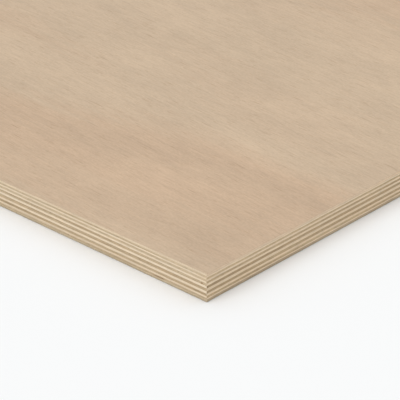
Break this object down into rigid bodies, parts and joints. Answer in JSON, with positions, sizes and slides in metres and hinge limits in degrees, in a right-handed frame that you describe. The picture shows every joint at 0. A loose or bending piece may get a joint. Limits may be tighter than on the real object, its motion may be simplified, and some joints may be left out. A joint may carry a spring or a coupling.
{
  "type": "plywood sheet",
  "caption": "Flat rectangular plywood sheet of cross-laminated rotary-cut hardwood veneers, sanded faces and square sawn edges that show the plies.",
  "frame": {"origin": "middle of the sheet's back, on the floor that it lies on", "axes": "+X along the sheet's length and its face grain, +Y across its width, +Z out of the sanded face"},
  "size_m": [2.44, 1.22, 0.018],
  "materials": {
    "outer_veneer": "sanded rotary-cut hardwood face veneer, bare, satin",
    "core_veneer": "sawn edge of a pale veneer whose grain runs along the sheet",
    "crossband": "sawn edge of a veneer whose grain runs across the sheet"
  },
  "bodies": {
    "root": {"face_veneer": "outer_veneer", "crossband_02": "crossband", "core_ply_03": "core_veneer", "crossband_04": "crossband", "core_ply_05": "core_veneer", "crossband_06": "crossband", "centre_ply_07": "core_veneer", "crossband_08": "crossband", "core_ply_09": "core_veneer", "crossband_10": "crossband", "core_ply_11": "core_veneer", "crossband_12": "crossband", "back_veneer": "outer_veneer"}
  },
  "joints": []
}
